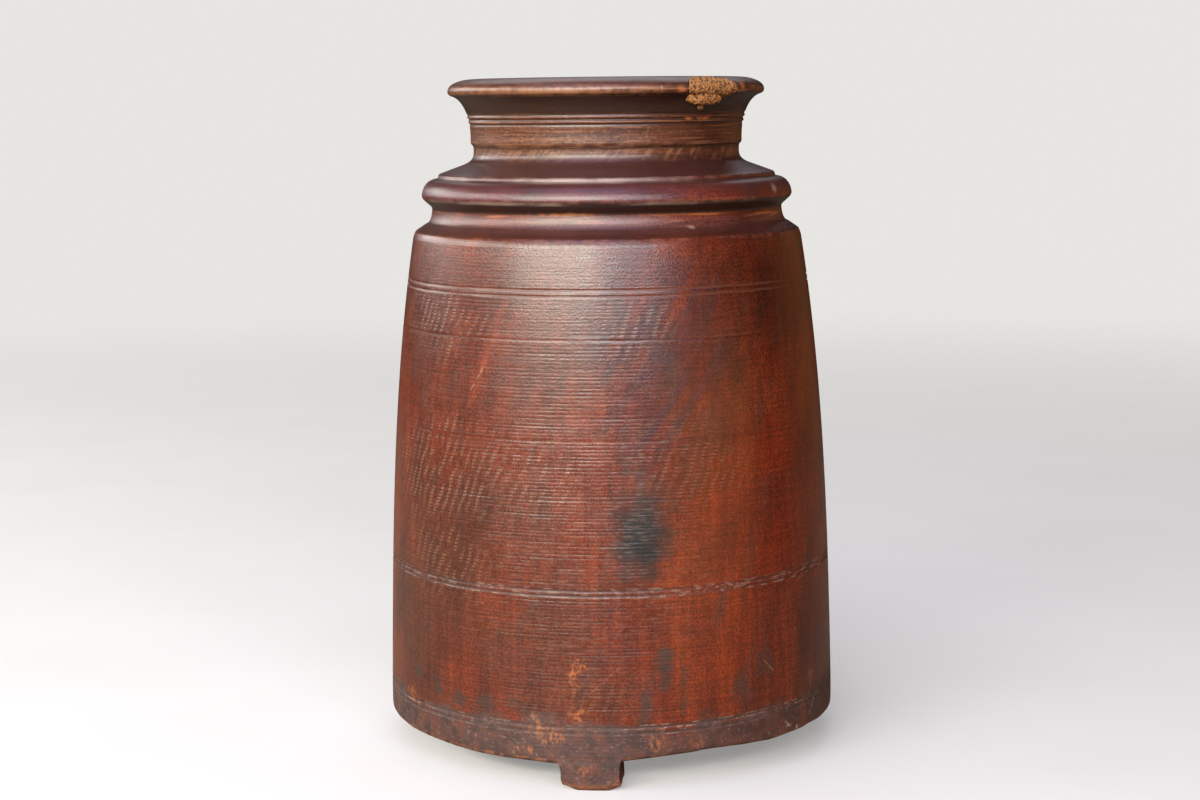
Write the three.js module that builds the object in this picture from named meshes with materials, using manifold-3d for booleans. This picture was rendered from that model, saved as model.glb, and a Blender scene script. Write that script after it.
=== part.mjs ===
// Ghee pot, turned in one piece from a log and hollowed through its neck, with a mended chip in its lip.
// Millimetres, +Z up along the turning axis, the origin on the floor under the middle of the pot.
import * as THREE from 'three';
import { mergeVertices } from 'three/addons/utils/BufferGeometryUtils.js';
import Module from 'manifold-3d';

const wasm = await Module();
wasm.setup();

const { Vector2 } = THREE;
const { PI, asin, cos, max, sin } = Math;
const DEGREE = PI / 180;

// Flats round every turned surface, and straight steps along the curves that are spun
const TURNED_SIDES = 56;
const ROUND_STEPS = 3;
const CURVE_STEPS = 5;

// Body wall, from the turned underside up to the shoulder edge
const BELLY_RADIUS = 170;
const BELLY_RISE = 20;
const WALL_HEIGHT = 366;
const WALL_TAPER = 8;
const WALL_BOW = 16.2;
const BOTTOM_ROUND = 3;

// Rings cut in the wall: their rise from the underside, or their drop from the shoulder edge
const RING_WIDTH = 2.4;
const RING_DEPTH = 0.9;
const RING_PAIR_PITCH = 4.4;
const FOOT_PAIR_RISE = 22;
const LOW_PAIR_RISE = 119.5;
const LOW_PAIR_PITCH = 3.5;
const LOWER_LINE_DROP = 140;
const UPPER_LINE_DROP = 70;
const SHOULDER_PAIR_DROP = 37.5;

// Shoulder: a sloping ledge, a cove, and the flange that overhangs it
const SHOULDER_ROUND = 3;
const SHOULDER_SWEEP = 60;
const LEDGE_WIDTH = 8.8;
const LEDGE_RISE = 4.5;
const SHOULDER_COVE_HEIGHT = 12.5;
const SHOULDER_COVE_DEPTH = 5;
const FLANGE_UNDERCUT = 7.7;
const FLANGE_UNDERCUT_RISE = 6;
const FLANGE_EDGE = 2;
const FLANGE_ROUND_WIDTH = 11;
const FLANGE_ROUND_HEIGHT = 13;
const FILLET_SET_IN = 1.2;
const FILLET_HEIGHT = 3.5;

// Slope from the fillet in to the neck, and the neck with its oversailing step
const SLOPE_WIDTH = 27.4;
const SLOPE_RISE = 9.5;
const SLOPE_BLEND = 8;
const NECK_HEIGHT = 11;
const STEP_OUT = 2.1;
const STEP_RISE = 2;
const COLLAR_HEIGHT = 5;

// Hollow moulding that flares from the collar to the lip, with two beads on it
const FLARE_WIDTH = 16;
const FLARE_HEIGHT = 30.6;
const FLARE_SWEEP = 80;
const BEAD_COUNT = 2;
const FIRST_BEAD_RISE = 11.1;
const BEAD_PITCH = 3.5;
const BEAD_TOP = 0.9;
const BEAD_RELIEF = 0.7;

// Lip: a tight lower roll and a broad crown
const LIP_ROLL = 3.8;
const LIP_ROLL_SWEEP = 60;
const CROWN_START = 15;
const CROWN_WIDTH = 19.4;
const CROWN_HEIGHT = 9;

// Hollow inside: wall, neck and floor thickness, and the curves between them
const NECK_WALL = 18;
const MOUTH_ROUND = 5;
const BODY_WALL = 20;
const FLOOR_THICKNESS = 28;
const FLOOR_ROUND = 34;
const DOME_DROP = 10;
const DOME_HEIGHT = 70;

// Underside and the three feet left standing from the foot ring
const UNDERSIDE_RELIEF = 3;
const FOOT_COUNT = 3;
const FOOT_HEIGHT = 22;
const FOOT_WIDTH = 42;
const FOOT_DEPTH = 34;
const FOOT_LEAN = 2.4;
const FOOT_CORNER_WIDTH = 11;
const FOOT_CORNER_HEIGHT = 4.5;
const FOOT_SET_BACK = 0.4;
const FOOT_EDGE_ROUND = 2.5;
const FOOT_SPREAD = 46;
const FOOT_SPREAD_DROP = 3.5;
const FOOT_ROOT = 9;
const FIRST_FOOT_ANGLE = -96.3;

// Chip broken out of the lip, and the filler that mends it
const CHIP_ANGLE = -48.8;
const CHIP_LENGTH = 50;
const CHIP_DEPTH = 12.5;
const CHIP_BELOW_LIP = 4;
const CHIP_SIDES = 24;
const FILLER_GAP = 0.3;
const LUMP_ANGLE = -51.5;
const LUMP_DROP = 3.2;
const LUMP_LENGTH = 32;
const LUMP_THICKNESS = 12;
const LUMP_HEIGHT = 9;
const LUMP_SIDES = 14;
const DRIP_ANGLE = -51.8;
const DRIP_DROP = 7;
const DRIP_WIDTH = 4;
const DRIP_LENGTH = 9;

// Heights of the stack, each resting on the one below
const underside = FOOT_HEIGHT;
const bellyLevel = underside + BELLY_RISE;
const shoulderEdge = underside + WALL_HEIGHT;
const ledgeTop = shoulderEdge + LEDGE_RISE;
const coveTop = ledgeTop + SHOULDER_COVE_HEIGHT;
const flangeLow = coveTop + FLANGE_UNDERCUT_RISE;
const flangeBelly = flangeLow + FLANGE_EDGE;
const flangeTop = flangeBelly + FLANGE_ROUND_HEIGHT;
const filletTop = flangeTop + FILLET_HEIGHT;
const neckFoot = filletTop + SLOPE_RISE;
const neckTop = neckFoot + NECK_HEIGHT;
const collarFoot = neckTop + STEP_RISE;
const flareFoot = collarFoot + COLLAR_HEIGHT;
const lipLow = flareFoot + FLARE_HEIGHT * sin(FLARE_SWEEP * DEGREE);
const lipBelly = lipLow + LIP_ROLL;
const rimTop = lipBelly + CROWN_HEIGHT;

// Radii of the same stack, each set in or out from the one below
const shoulderRadius = BELLY_RADIUS - WALL_TAPER - WALL_BOW;
const ledgeRadius = shoulderRadius - LEDGE_WIDTH;
const coveRadius = ledgeRadius - SHOULDER_COVE_DEPTH;
const flangeRadius = coveRadius + FLANGE_UNDERCUT;
const flangeTopRadius = flangeRadius - FLANGE_ROUND_WIDTH;
const filletRadius = flangeTopRadius - FILLET_SET_IN;
const neckRadius = filletRadius - SLOPE_WIDTH;
const collarRadius = neckRadius + STEP_OUT;
const lipRadius = flarePoint(FLARE_SWEEP).x + LIP_ROLL;
const crownRadius = lipRadius - CROWN_WIDTH;
const boreRadius = neckRadius - NECK_WALL;

// Upright below the belly, then an even taper, bowed in faster and faster towards the shoulder.
function wallRadius(height) {
  const share = max(0, height - bellyLevel) / (shoulderEdge - bellyLevel);
  return BELLY_RADIUS - WALL_TAPER * share - WALL_BOW * share ** 3;
}

// A point on the wall at a height, cut in by a depth.
function onWall(height, depth = 0) {
  return new Vector2(wallRadius(height) - depth, height);
}

// Even steps from one value to another, the first value left out.
function spaced(from, to, steps) {
  return Array.from({ length: steps }, (_, i) => from + ((to - from) * (i + 1)) / steps);
}

// Points on part of an ellipse, from one angle to another in degrees, both ends included.
function arc(centreR, centreZ, radiusR, radiusZ, from, to, steps) {
  const clockwise = to < from;
  const curve = new THREE.EllipseCurve(
    centreR, centreZ, radiusR, radiusZ, from * DEGREE, to * DEGREE, clockwise);
  return curve.getPoints(steps);
}

// A point on the flare, by its sweep from the collar.
function flarePoint(sweep) {
  const out = FLARE_WIDTH * (1 - cos(sweep * DEGREE));
  return new Vector2(collarRadius + out, flareFoot + FLARE_HEIGHT * sin(sweep * DEGREE));
}

// The flare, with a groove on each side of every bead.
function flareProfile() {
  const marks = [{ rise: FIRST_BEAD_RISE - BEAD_PITCH / 2, out: -BEAD_RELIEF }];
  for (let i = 0; i < BEAD_COUNT; i += 1) {
    const rise = FIRST_BEAD_RISE + i * BEAD_PITCH;
    marks.push({ rise: rise - BEAD_TOP / 2, out: BEAD_RELIEF });
    marks.push({ rise: rise + BEAD_TOP / 2, out: BEAD_RELIEF });
    marks.push({ rise: rise + BEAD_PITCH / 2, out: -BEAD_RELIEF });
  }
  const sweepOf = (rise) => asin(rise / FLARE_HEIGHT) / DEGREE;
  const below = spaced(0, sweepOf(marks[0].rise), ROUND_STEPS);
  const above = spaced(sweepOf(marks.at(-1).rise), FLARE_SWEEP, CURVE_STEPS);
  const beads = marks.map(({ rise, out }) => {
    const { x, y } = flarePoint(sweepOf(rise));
    return new Vector2(x + out, y);
  });
  return [flarePoint(0), ...below.map(flarePoint), ...beads, ...above.map(flarePoint)];
}

// The wall, with its cut rings in order of height.
function wallProfile() {
  const pair = (middle, pitch) => [middle - pitch / 2, middle + pitch / 2];
  const rings = [
    ...pair(underside + FOOT_PAIR_RISE, RING_PAIR_PITCH),
    ...pair(underside + LOW_PAIR_RISE, LOW_PAIR_PITCH),
    shoulderEdge - LOWER_LINE_DROP,
    shoulderEdge - UPPER_LINE_DROP,
    ...pair(shoulderEdge - SHOULDER_PAIR_DROP, RING_PAIR_PITCH),
  ];
  const heights = spaced(bellyLevel, shoulderEdge, CURVE_STEPS).slice(0, -1);
  const points = heights.map((height) => onWall(height));
  for (const height of rings) {
    const lower = onWall(height - RING_WIDTH / 2);
    const upper = onWall(height + RING_WIDTH / 2);
    points.push(lower, onWall(height, RING_DEPTH), upper);
  }
  return points.sort((low, high) => low.y - high.y);
}

// From the middle of the underside out to the wall.
function undersideProfile() {
  const ringInner = BELLY_RADIUS - FOOT_DEPTH;
  const roundLevel = underside + BOTTOM_ROUND;
  const roundRadius = wallRadius(roundLevel) - BOTTOM_ROUND;
  return [
    new Vector2(0, underside + UNDERSIDE_RELIEF),
    new Vector2(ringInner - UNDERSIDE_RELIEF, underside + UNDERSIDE_RELIEF),
    new Vector2(ringInner, underside),
    ...arc(roundRadius, roundLevel, BOTTOM_ROUND, BOTTOM_ROUND, -90, 0, ROUND_STEPS),
  ];
}

// Ledge, cove, flange, fillet and slope, up to the neck.
function shoulderProfile() {
  const blendShare = SLOPE_BLEND / SLOPE_WIDTH;
  const slopeEnd = new Vector2(neckRadius + SLOPE_BLEND, neckFoot - SLOPE_RISE * blendShare);
  const corner = new Vector2(neckRadius, neckFoot);
  const neckStart = new Vector2(neckRadius, neckFoot + NECK_HEIGHT / 2);
  const blend = new THREE.QuadraticBezierCurve(slopeEnd, corner, neckStart);
  const edgeLevel = shoulderEdge - SHOULDER_ROUND;
  const edgeRadius = shoulderRadius - SHOULDER_ROUND;
  return [
    ...arc(edgeRadius, edgeLevel, SHOULDER_ROUND, SHOULDER_ROUND, 0, SHOULDER_SWEEP, ROUND_STEPS),
    ...arc(ledgeRadius, coveTop, SHOULDER_COVE_DEPTH, SHOULDER_COVE_HEIGHT, -90, -180, CURVE_STEPS),
    new Vector2(flangeRadius - FLANGE_EDGE / 2, flangeLow),
    ...arc(flangeTopRadius, flangeBelly, FLANGE_ROUND_WIDTH, FLANGE_ROUND_HEIGHT, 0, 90, CURVE_STEPS),
    new Vector2(filletRadius, flangeTop),
    new Vector2(filletRadius, filletTop),
    ...blend.getPoints(ROUND_STEPS),
  ];
}

// Neck, step, collar, flare and lip, up to the flat of the rim.
function neckProfile() {
  return [
    new Vector2(neckRadius, neckTop),
    new Vector2(collarRadius, collarFoot),
    ...flareProfile(),
    ...arc(lipRadius - LIP_ROLL, lipBelly, LIP_ROLL, LIP_ROLL, -LIP_ROLL_SWEEP, 0, ROUND_STEPS),
    ...arc(crownRadius, lipBelly, CROWN_WIDTH, CROWN_HEIGHT, CROWN_START, 90, CURVE_STEPS),
  ];
}

// The hollow, from the mouth down to the middle of the floor.
function hollowProfile() {
  const domeTop = neckFoot - DOME_DROP;
  const domeFoot = domeTop - DOME_HEIGHT;
  const domeWidth = wallRadius(domeFoot) - BODY_WALL - boreRadius;
  const floor = underside + FLOOR_THICKNESS;
  const floorRoundLevel = floor + FLOOR_ROUND;
  const innerRadius = wallRadius(floorRoundLevel) - BODY_WALL;
  const middle = (domeFoot + floorRoundLevel) / 2;
  return [
    ...arc(boreRadius + MOUTH_ROUND, rimTop - MOUTH_ROUND, MOUTH_ROUND, MOUTH_ROUND, 90, 180, ROUND_STEPS),
    ...arc(boreRadius, domeFoot, domeWidth, DOME_HEIGHT, 90, 0, CURVE_STEPS),
    onWall(middle, BODY_WALL),
    ...arc(innerRadius - FLOOR_ROUND, floorRoundLevel, FLOOR_ROUND, FLOOR_ROUND, 0, -90, CURVE_STEPS),
    new Vector2(0, floor),
  ];
}

// The same run of points, moved out square to the surface.
function movedOut(points, distance) {
  const last = points.length - 1;
  return points.map((point, i) => {
    const ahead = points[Math.min(i + 1, last)];
    const behind = points[Math.max(i - 1, 0)];
    const along = ahead.clone().sub(behind).normalize();
    return new Vector2(point.x + along.y * distance, point.y - along.x * distance);
  });
}

// A closed mesh as a solid that can be cut and joined.
function solidOf(geometry) {
  const bare = geometry.clone();
  bare.deleteAttribute('normal');
  bare.deleteAttribute('uv');
  const merged = mergeVertices(bare);
  const corners = Array.from(merged.index.array);
  const triangles = [];
  for (let i = 0; i < corners.length; i += 3) {
    const [a, b, c] = corners.slice(i, i + 3);
    if (a !== b && b !== c && c !== a) {
      triangles.push(a, b, c);
    }
  }
  return new wasm.Manifold(new wasm.Mesh({
    numProp: 3,
    vertProperties: new Float32Array(merged.attributes.position.array),
    triVerts: new Uint32Array(triangles),
  }));
}

// A finished solid as a named mesh.
function meshOf(name, solid, finish) {
  const { numProp, vertProperties, triVerts } = solid.getMesh();
  const geometry = new THREE.BufferGeometry();
  geometry.setAttribute('position', new THREE.BufferAttribute(vertProperties, numProp));
  geometry.setIndex(new THREE.BufferAttribute(triVerts, 1));
  geometry.computeVertexNormals();
  const mesh = new THREE.Mesh(geometry, new THREE.MeshStandardMaterial(finish));
  mesh.name = name;
  return mesh;
}

// A profile of radius and height, spun about the turning axis.
function turned(profile) {
  const lathe = new THREE.LatheGeometry(profile, TURNED_SIDES);
  lathe.rotateX(PI / 2);
  return solidOf(lathe);
}

// A rounded lump of filler, set against the pot at an angle round the axis.
function lump(angle, radius, level, size) {
  const ball = new THREE.SphereGeometry(0.5, LUMP_SIDES, LUMP_SIDES / 2);
  ball.scale(size.length, size.thickness, size.height);
  ball.translate(0, radius, level);
  ball.rotateZ((angle - 90) * DEGREE);
  return solidOf(ball);
}

// One foot: a leaning block with worn corners, spread at its root, trimmed to the round of the wall.
function foot(angle) {
  const half = FOOT_WIDTH / 2;
  const top = underside + FOOT_ROOT;
  const root = underside - FOOT_SPREAD_DROP;
  const spreadEnd = underside + BOTTOM_ROUND;
  const left = -half - FOOT_LEAN;
  const right = half - FOOT_LEAN;
  const front = new THREE.Shape();
  front.moveTo(-half - FOOT_SPREAD, top);
  front.lineTo(-half - FOOT_SPREAD, spreadEnd);
  front.lineTo(-half, root);
  front.lineTo(left, FOOT_CORNER_HEIGHT);
  front.quadraticCurveTo(left, 0, left + FOOT_CORNER_WIDTH, 0);
  front.lineTo(right - FOOT_CORNER_WIDTH, 0);
  front.quadraticCurveTo(right, 0, right, FOOT_CORNER_HEIGHT);
  front.lineTo(half, root);
  front.lineTo(half + FOOT_SPREAD, spreadEnd);
  front.lineTo(half + FOOT_SPREAD, top);
  const block = new THREE.ExtrudeGeometry(front, {
    depth: FOOT_DEPTH,
    bevelEnabled: false,
    curveSegments: CURVE_STEPS,
  });
  block.rotateX(PI / 2);
  block.translate(0, BELLY_RADIUS, 0);
  block.rotateZ((angle - 90) * DEGREE);
  const face = wallRadius(underside) - FOOT_SET_BACK;
  const trim = turned([
    new Vector2(0, 0),
    ...arc(face - FOOT_EDGE_ROUND, FOOT_EDGE_ROUND, FOOT_EDGE_ROUND, FOOT_EDGE_ROUND, -90, 0, ROUND_STEPS),
    new Vector2(face, top),
    new Vector2(0, top),
  ]);
  return solidOf(block).intersect(trim);
}

// The bite that the chip took out of the lip, drawn in all round by the margin.
function chip(margin) {
  const outline = new THREE.Shape();
  outline.absellipse(0, 0, CHIP_LENGTH / 2 - margin, CHIP_DEPTH - margin, 0, 2 * PI);
  const bottom = lipLow - CHIP_BELOW_LIP + margin;
  const bite = new THREE.ExtrudeGeometry(outline, {
    depth: rimTop + CROWN_HEIGHT - bottom,
    bevelEnabled: false,
    curveSegments: CHIP_SIDES,
  });
  bite.translate(0, lipRadius, bottom);
  bite.rotateZ((CHIP_ANGLE - 90) * DEGREE);
  return solidOf(bite);
}

// The whole turned body on its feet, before the lip was chipped.
function soundPot() {
  let pot = turned([
    ...undersideProfile(),
    ...wallProfile(),
    ...shoulderProfile(),
    ...neckProfile(),
    ...hollowProfile(),
  ]);
  for (let i = 0; i < FOOT_COUNT; i += 1) {
    pot = pot.add(foot(FIRST_FOOT_ANGLE + (360 / FOOT_COUNT) * i));
  }
  return pot;
}

// Filler packed into the chip, flush with the lip, with a lump and a drip squeezed out below it.
function rimRepair(pot) {
  const plug = pot.intersect(chip(FILLER_GAP));
  const nearNeck = movedOut(neckProfile(), FILLER_GAP);
  const neckCore = turned([new Vector2(0, neckTop), ...nearNeck, new Vector2(0, rimTop)]);
  const keptClear = neckCore.subtract(chip(FILLER_GAP));
  const seat = flarePoint(FLARE_SWEEP).x - LIP_ROLL;
  const squeezed = lump(LUMP_ANGLE, seat, lipLow - LUMP_DROP, {
    length: LUMP_LENGTH,
    thickness: LUMP_THICKNESS,
    height: LUMP_HEIGHT,
  });
  const drip = lump(DRIP_ANGLE, seat - DRIP_WIDTH, lipLow - DRIP_DROP, {
    length: DRIP_WIDTH,
    thickness: DRIP_WIDTH * 2,
    height: DRIP_LENGTH,
  });
  return plug.add(squeezed.add(drip).subtract(keptClear));
}

const turnedWood = { color: 0x5b2a20, roughness: 0.42, metalness: 0 };
const filler = { color: 0xa9793f, roughness: 0.9, metalness: 0 };

const sound = soundPot();
const body = meshOf('pot_body', sound.subtract(chip(0)), turnedWood);
const repair = meshOf('rim_repair', rimRepair(sound), filler);

const gheePot = new THREE.Group();
gheePot.add(body, repair);

export default gheePot;
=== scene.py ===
# %% [markdown]
# # A ghee pot turned from one log
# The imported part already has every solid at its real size. This file gives each solid a finer
# skin: the tool marks, the worn edges and the old greasy wood. It works in metres, in the same
# frame as the part, and the camera stands where the photographer stood.

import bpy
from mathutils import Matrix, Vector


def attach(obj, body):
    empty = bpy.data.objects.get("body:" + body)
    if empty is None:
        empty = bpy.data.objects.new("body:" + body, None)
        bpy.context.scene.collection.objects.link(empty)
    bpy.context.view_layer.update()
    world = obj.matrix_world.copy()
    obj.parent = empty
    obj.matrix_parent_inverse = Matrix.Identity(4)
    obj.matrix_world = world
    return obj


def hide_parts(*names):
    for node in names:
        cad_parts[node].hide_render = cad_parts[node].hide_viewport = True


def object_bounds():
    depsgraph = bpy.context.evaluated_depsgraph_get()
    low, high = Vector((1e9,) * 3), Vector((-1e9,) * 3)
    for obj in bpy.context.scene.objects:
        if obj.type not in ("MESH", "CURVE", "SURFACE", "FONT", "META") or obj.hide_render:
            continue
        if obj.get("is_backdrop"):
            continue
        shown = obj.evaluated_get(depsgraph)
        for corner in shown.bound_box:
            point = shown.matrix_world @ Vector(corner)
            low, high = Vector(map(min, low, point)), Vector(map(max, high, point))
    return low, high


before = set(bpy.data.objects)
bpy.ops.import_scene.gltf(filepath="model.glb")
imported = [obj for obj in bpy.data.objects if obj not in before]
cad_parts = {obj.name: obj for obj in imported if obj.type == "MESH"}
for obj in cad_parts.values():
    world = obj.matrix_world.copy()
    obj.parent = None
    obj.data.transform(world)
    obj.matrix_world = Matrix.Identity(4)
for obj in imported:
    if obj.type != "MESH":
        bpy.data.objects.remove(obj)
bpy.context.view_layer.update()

# %% Other tools and the unit
import bisect
import math
import random

import bmesh
import bpy
from mathutils import Matrix, Vector, noise

MM = 0.001
scene = bpy.context.scene

# %% [markdown]
# ## Camera
# The turned rings show how high the eye was: a ring at eye level looks like a straight line, and
# rings below it open into ellipses. A long lens keeps the sides of the pot nearly parallel. The
# picture leans by about half a degree, so the camera is rolled by as much.

# %% Camera
LENS_MM = 66
SENSOR_MM = 36
EYE = Vector((-0.0067, -1.6706, 0.482))
LOOKS_DOWN = 7.71
ROLL = 0.61

camera = bpy.data.objects.new("camera", bpy.data.cameras.new("camera"))
camera.data.lens = LENS_MM
camera.data.sensor_width = SENSOR_MM
aim = Matrix.Rotation(math.radians(90 - LOOKS_DOWN), 4, "X")
roll = Matrix.Rotation(math.radians(-ROLL), 4, "Z")
camera.matrix_world = Matrix.Translation(EYE) @ aim @ roll
scene.collection.objects.link(camera)
scene.camera = camera
scene.view_settings.view_transform = "Standard"
print("the camera is", round(-EYE.y, 3), "m from the axis")

# %% [markdown]
# ## Light
# Turned wood shows its round form by one long soft highlight. Sheets of warm white light in front
# and at the left make it, with a slightly cool one to the right of them. Two violet-blue sheets
# higher up cool the sheen, and low orange-red ones at the right keep the shadow side red.

# %% Soft lights
AIM_HEIGHT = 0.25


def softbox(name, bearing, rise, distance, width, height, colour, watts):
    """A sheet of light that faces the pot. Bearing 0 is in front and 90 is at the right."""
    data = bpy.data.lights.new(name, "AREA")
    data.shape = "RECTANGLE"
    data.size, data.size_y = width, height
    data.color = colour
    data.energy = watts
    lamp = bpy.data.objects.new(name, data)
    turn = Matrix.Rotation(math.radians(bearing), 4, "Z")
    tilt = Matrix.Rotation(math.radians(90 - rise), 4, "X")
    centre = Matrix.Translation((0, 0, AIM_HEIGHT))
    lamp.matrix_world = centre @ turn @ tilt @ Matrix.Translation((0, 0, distance))
    lamp.visible_camera = False
    scene.collection.objects.link(lamp)
    return lamp


lamps = [
    softbox("sky_front", -28, 20.2, 3.0, 2.4, 0.43, (1.0, 0.95, 0.83), 132),
    softbox("sky_right", 11, 23, 3.0, 1.9, 0.60, (0.94, 0.90, 0.98), 58),
    softbox("sky_left", -74, 22, 3.0, 2.4, 0.42, (1.0, 0.95, 0.86), 53),
    softbox("sky_far_left", -118, 17, 3.0, 2.4, 0.80, (1.0, 0.95, 0.92), 38),
    softbox("sky_middle", -22, 42, 3.0, 2.4, 0.9, (0.86, 0.74, 1.0), 20),
    softbox("sky_high", -25, 66, 3.0, 2.8, 1.3, (0.48, 0.54, 1.0), 29),
    softbox("ground_right", 52, -2, 2.8, 2.8, 0.30, (1.0, 0.36, 0.13), 14),
    softbox("ground_left", -40, -8, 2.8, 2.6, 0.40, (1.0, 0.74, 0.52), 3),
    softbox("wall_right", 128, 4, 3.0, 2.4, 1.6, (1.0, 0.40, 0.12), 3.4),
    softbox("back", 180, 50, 3.0, 2.4, 2.0, (0.92, 0.94, 1.0), 26),
]
print("soft lights:", len(lamps))

# %% [markdown]
# ## Floor and surroundings
# The floor is one wide pale disc. Far out it fades away into a world of the same pale tone, so no
# horizon line shows. The world looks bright to the camera only, and lights the pot very little.

# %% World
PALE = (0.80, 0.785, 0.76, 1.0)
DIM = (0.022, 0.018, 0.014, 1.0)

world = bpy.data.worlds.new("studio")
world.use_nodes = True
world.node_tree.nodes.clear()
scene.world = world
kinds = ("LightPath", "Mix", "Background", "OutputWorld")
path, tone, sky, shown = [world.node_tree.nodes.new("ShaderNode" + kind) for kind in kinds]
tone.data_type = "RGBA"
tone.inputs[6].default_value = DIM
tone.inputs[7].default_value = PALE
join = world.node_tree.links.new
join(path.outputs["Is Camera Ray"], tone.inputs[0])
join(tone.outputs[2], sky.inputs["Color"])
join(sky.outputs["Background"], shown.inputs["Surface"])
print("world tones:", PALE[:3], DIM[:3])

# %% [markdown]
# ## Profile
# A turner works along one outline with a gouge, and a lathe profile is the same thing here: a
# line of radius and height that is later spun once round. Each moulding is a run of points, in
# millimetres, from the middle of the underside out, up to the lip, and down again inside.

# %% Points along a run
profile = []


def arc(centre_radius, centre_height, across, up, start, end):
    """Closely spaced points on part of an ellipse, with its angles in degrees."""
    steps = max(8, round(abs(end - start) / 4))
    turns = [math.radians(start + (end - start) * i / steps) for i in range(steps + 1)]
    centre = Vector((centre_radius, centre_height))
    return [centre + Vector((across * math.cos(t), up * math.sin(t))) for t in turns]


def evenly(points, gap):
    """The same line, walked again in even steps of about the gap."""
    reach = [0.0]
    for a, b in zip(points, points[1:]):
        reach.append(reach[-1] + (b - a).length)
    steps = max(1, round(reach[-1] / gap))
    walked = []
    for i in range(steps + 1):
        here = reach[-1] * i / steps
        j = min(bisect.bisect_right(reach, here), len(points) - 1)
        share = (here - reach[j - 1]) / (reach[j] - reach[j - 1])
        walked.append(points[j - 1].lerp(points[j], share))
    return walked


def follow(points, gap, inside=0.0):
    """Adds a run of points to the profile, with no cut in them."""
    for point in evenly([Vector(point) for point in points], gap):
        if not profile or (point - profile[-1]["at"]).length > gap / 4:
            plain = {"cut": 0.0, "ring": 0.0, "valley": 0.0, "wall": False}
            profile.append({"at": point, "inside": inside, **plain})


# %% Underside and foot of the wall
FOOT_HEIGHT = 22
BELLY_RADIUS = 170
FOOT_DEPTH = 34
UNDERSIDE_RELIEF = 3
BOTTOM_ROUND = 3
INNER_GAP = 11
FOOT_RING_GAP = 5
BOTTOM_GAP = 0.8

ring_inner = BELLY_RADIUS - FOOT_DEPTH
ring_outer = BELLY_RADIUS - BOTTOM_ROUND
hollowed = FOOT_HEIGHT + UNDERSIDE_RELIEF
follow([(0, hollowed), (ring_inner - UNDERSIDE_RELIEF, hollowed)], INNER_GAP)
follow([(ring_inner, FOOT_HEIGHT), (ring_outer, FOOT_HEIGHT)], FOOT_RING_GAP)
follow(arc(ring_outer, hollowed, BOTTOM_ROUND, BOTTOM_ROUND, -90, 0), BOTTOM_GAP)
print("underside stations:", len(profile))

# %% [markdown]
# ## Body wall
# The wall is upright at the belly and leans in faster and faster towards the shoulder. The gouge
# left a fine ridge with every turn of the log, about 2.6 mm apart. Each ridge is a narrow valley
# between two flat lands, so three points a ridge are enough. The cut rings are deeper and wider.

# %% Shape of the wall
BELLY_RISE = 20
WALL_HEIGHT = 366
WALL_TAPER = 8
WALL_BOW = 16.2
SHOULDER_ROUND = 3

belly_level = FOOT_HEIGHT + BELLY_RISE
shoulder_edge = FOOT_HEIGHT + WALL_HEIGHT


def wall_radius(height):
    """Radius of the smooth wall at a height, before any ridge is cut."""
    share = max(0.0, height - belly_level) / (shoulder_edge - belly_level)
    return BELLY_RADIUS - WALL_TAPER * share - WALL_BOW * share**3


# %% Ridges and rings up the wall
RIDGE_PITCH = 2.6
PITCH_VARIES = 0.14
DEPTH_VARIES = (0.75, 1.20)
LAND_SHARES = (0.27, 0.73)
RIDGE_DEPTHS = (
    (25, 0.04), (46, 0.07), (62, 0.10), (200, 0.105), (245, 0.085),
    (290, 0.06), (322, 0.04), (350, 0.025), (386, 0.015),
)
RING_WIDTH = 2.4
RING_CLEARANCE = 0.6
RING_SECTION = ((-0.5, 0.0), (-0.16, 0.85), (0.16, 0.85), (0.5, 0.0))
RING_PAIR_PITCH = 4.4
LOW_PAIR_PITCH = 3.5
FOOT_PAIR_RISE = 22
LOW_PAIR_RISE = 119.5
LONE_RING_DROPS = (140, 70)
TOP_PAIR_DROP = 37.5

foot_pair = FOOT_HEIGHT + FOOT_PAIR_RISE
low_pair = FOOT_HEIGHT + LOW_PAIR_RISE
top_pair = shoulder_edge - TOP_PAIR_DROP
RINGS = (
    (foot_pair - RING_PAIR_PITCH / 2, 0.60),
    (foot_pair + RING_PAIR_PITCH / 2, 0.55),
    (low_pair - LOW_PAIR_PITCH / 2, 0.44),
    (low_pair + LOW_PAIR_PITCH / 2, 0.40),
    (shoulder_edge - LONE_RING_DROPS[0], 0.22),
    (shoulder_edge - LONE_RING_DROPS[1], 0.18),
    (top_pair - RING_PAIR_PITCH / 2, 0.55),
    (top_pair + RING_PAIR_PITCH / 2, 0.50),
)
chance = random.Random(7)


def between(table, value):
    """A value read off a short list of marks, straight between each mark and the next."""
    for (x0, y0), (x1, y1) in zip(table, table[1:]):
        if value <= x1:
            return y0 + (y1 - y0) * max(0.0, value - x0) / (x1 - x0)
    return table[-1][1]


def wall_stations():
    """Height, cut, ring and valley share of every point up the wall, ridges and cut rings."""
    marks = []
    level = hollowed + 1.0
    while level < shoulder_edge - SHOULDER_ROUND - RIDGE_PITCH:
        pitch = RIDGE_PITCH * chance.uniform(1 - PITCH_VARIES, 1 + PITCH_VARIES)
        depth = between(RIDGE_DEPTHS, level) * chance.uniform(*DEPTH_VARIES)
        marks.append((level, depth, 0.0, 1.0))
        marks.extend((level + pitch * share, 0.0, 0.0, 0.0) for share in LAND_SHARES)
        level += pitch
    for ring, _ in RINGS:
        marks = [mark for mark in marks if abs(mark[0] - ring) > RING_WIDTH * RING_CLEARANCE]
    for ring, deep in RINGS:
        for share, depth in RING_SECTION:
            marks.append((ring + share * RING_WIDTH, depth * deep, 1.0, 0.0))
    return sorted(marks)


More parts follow.
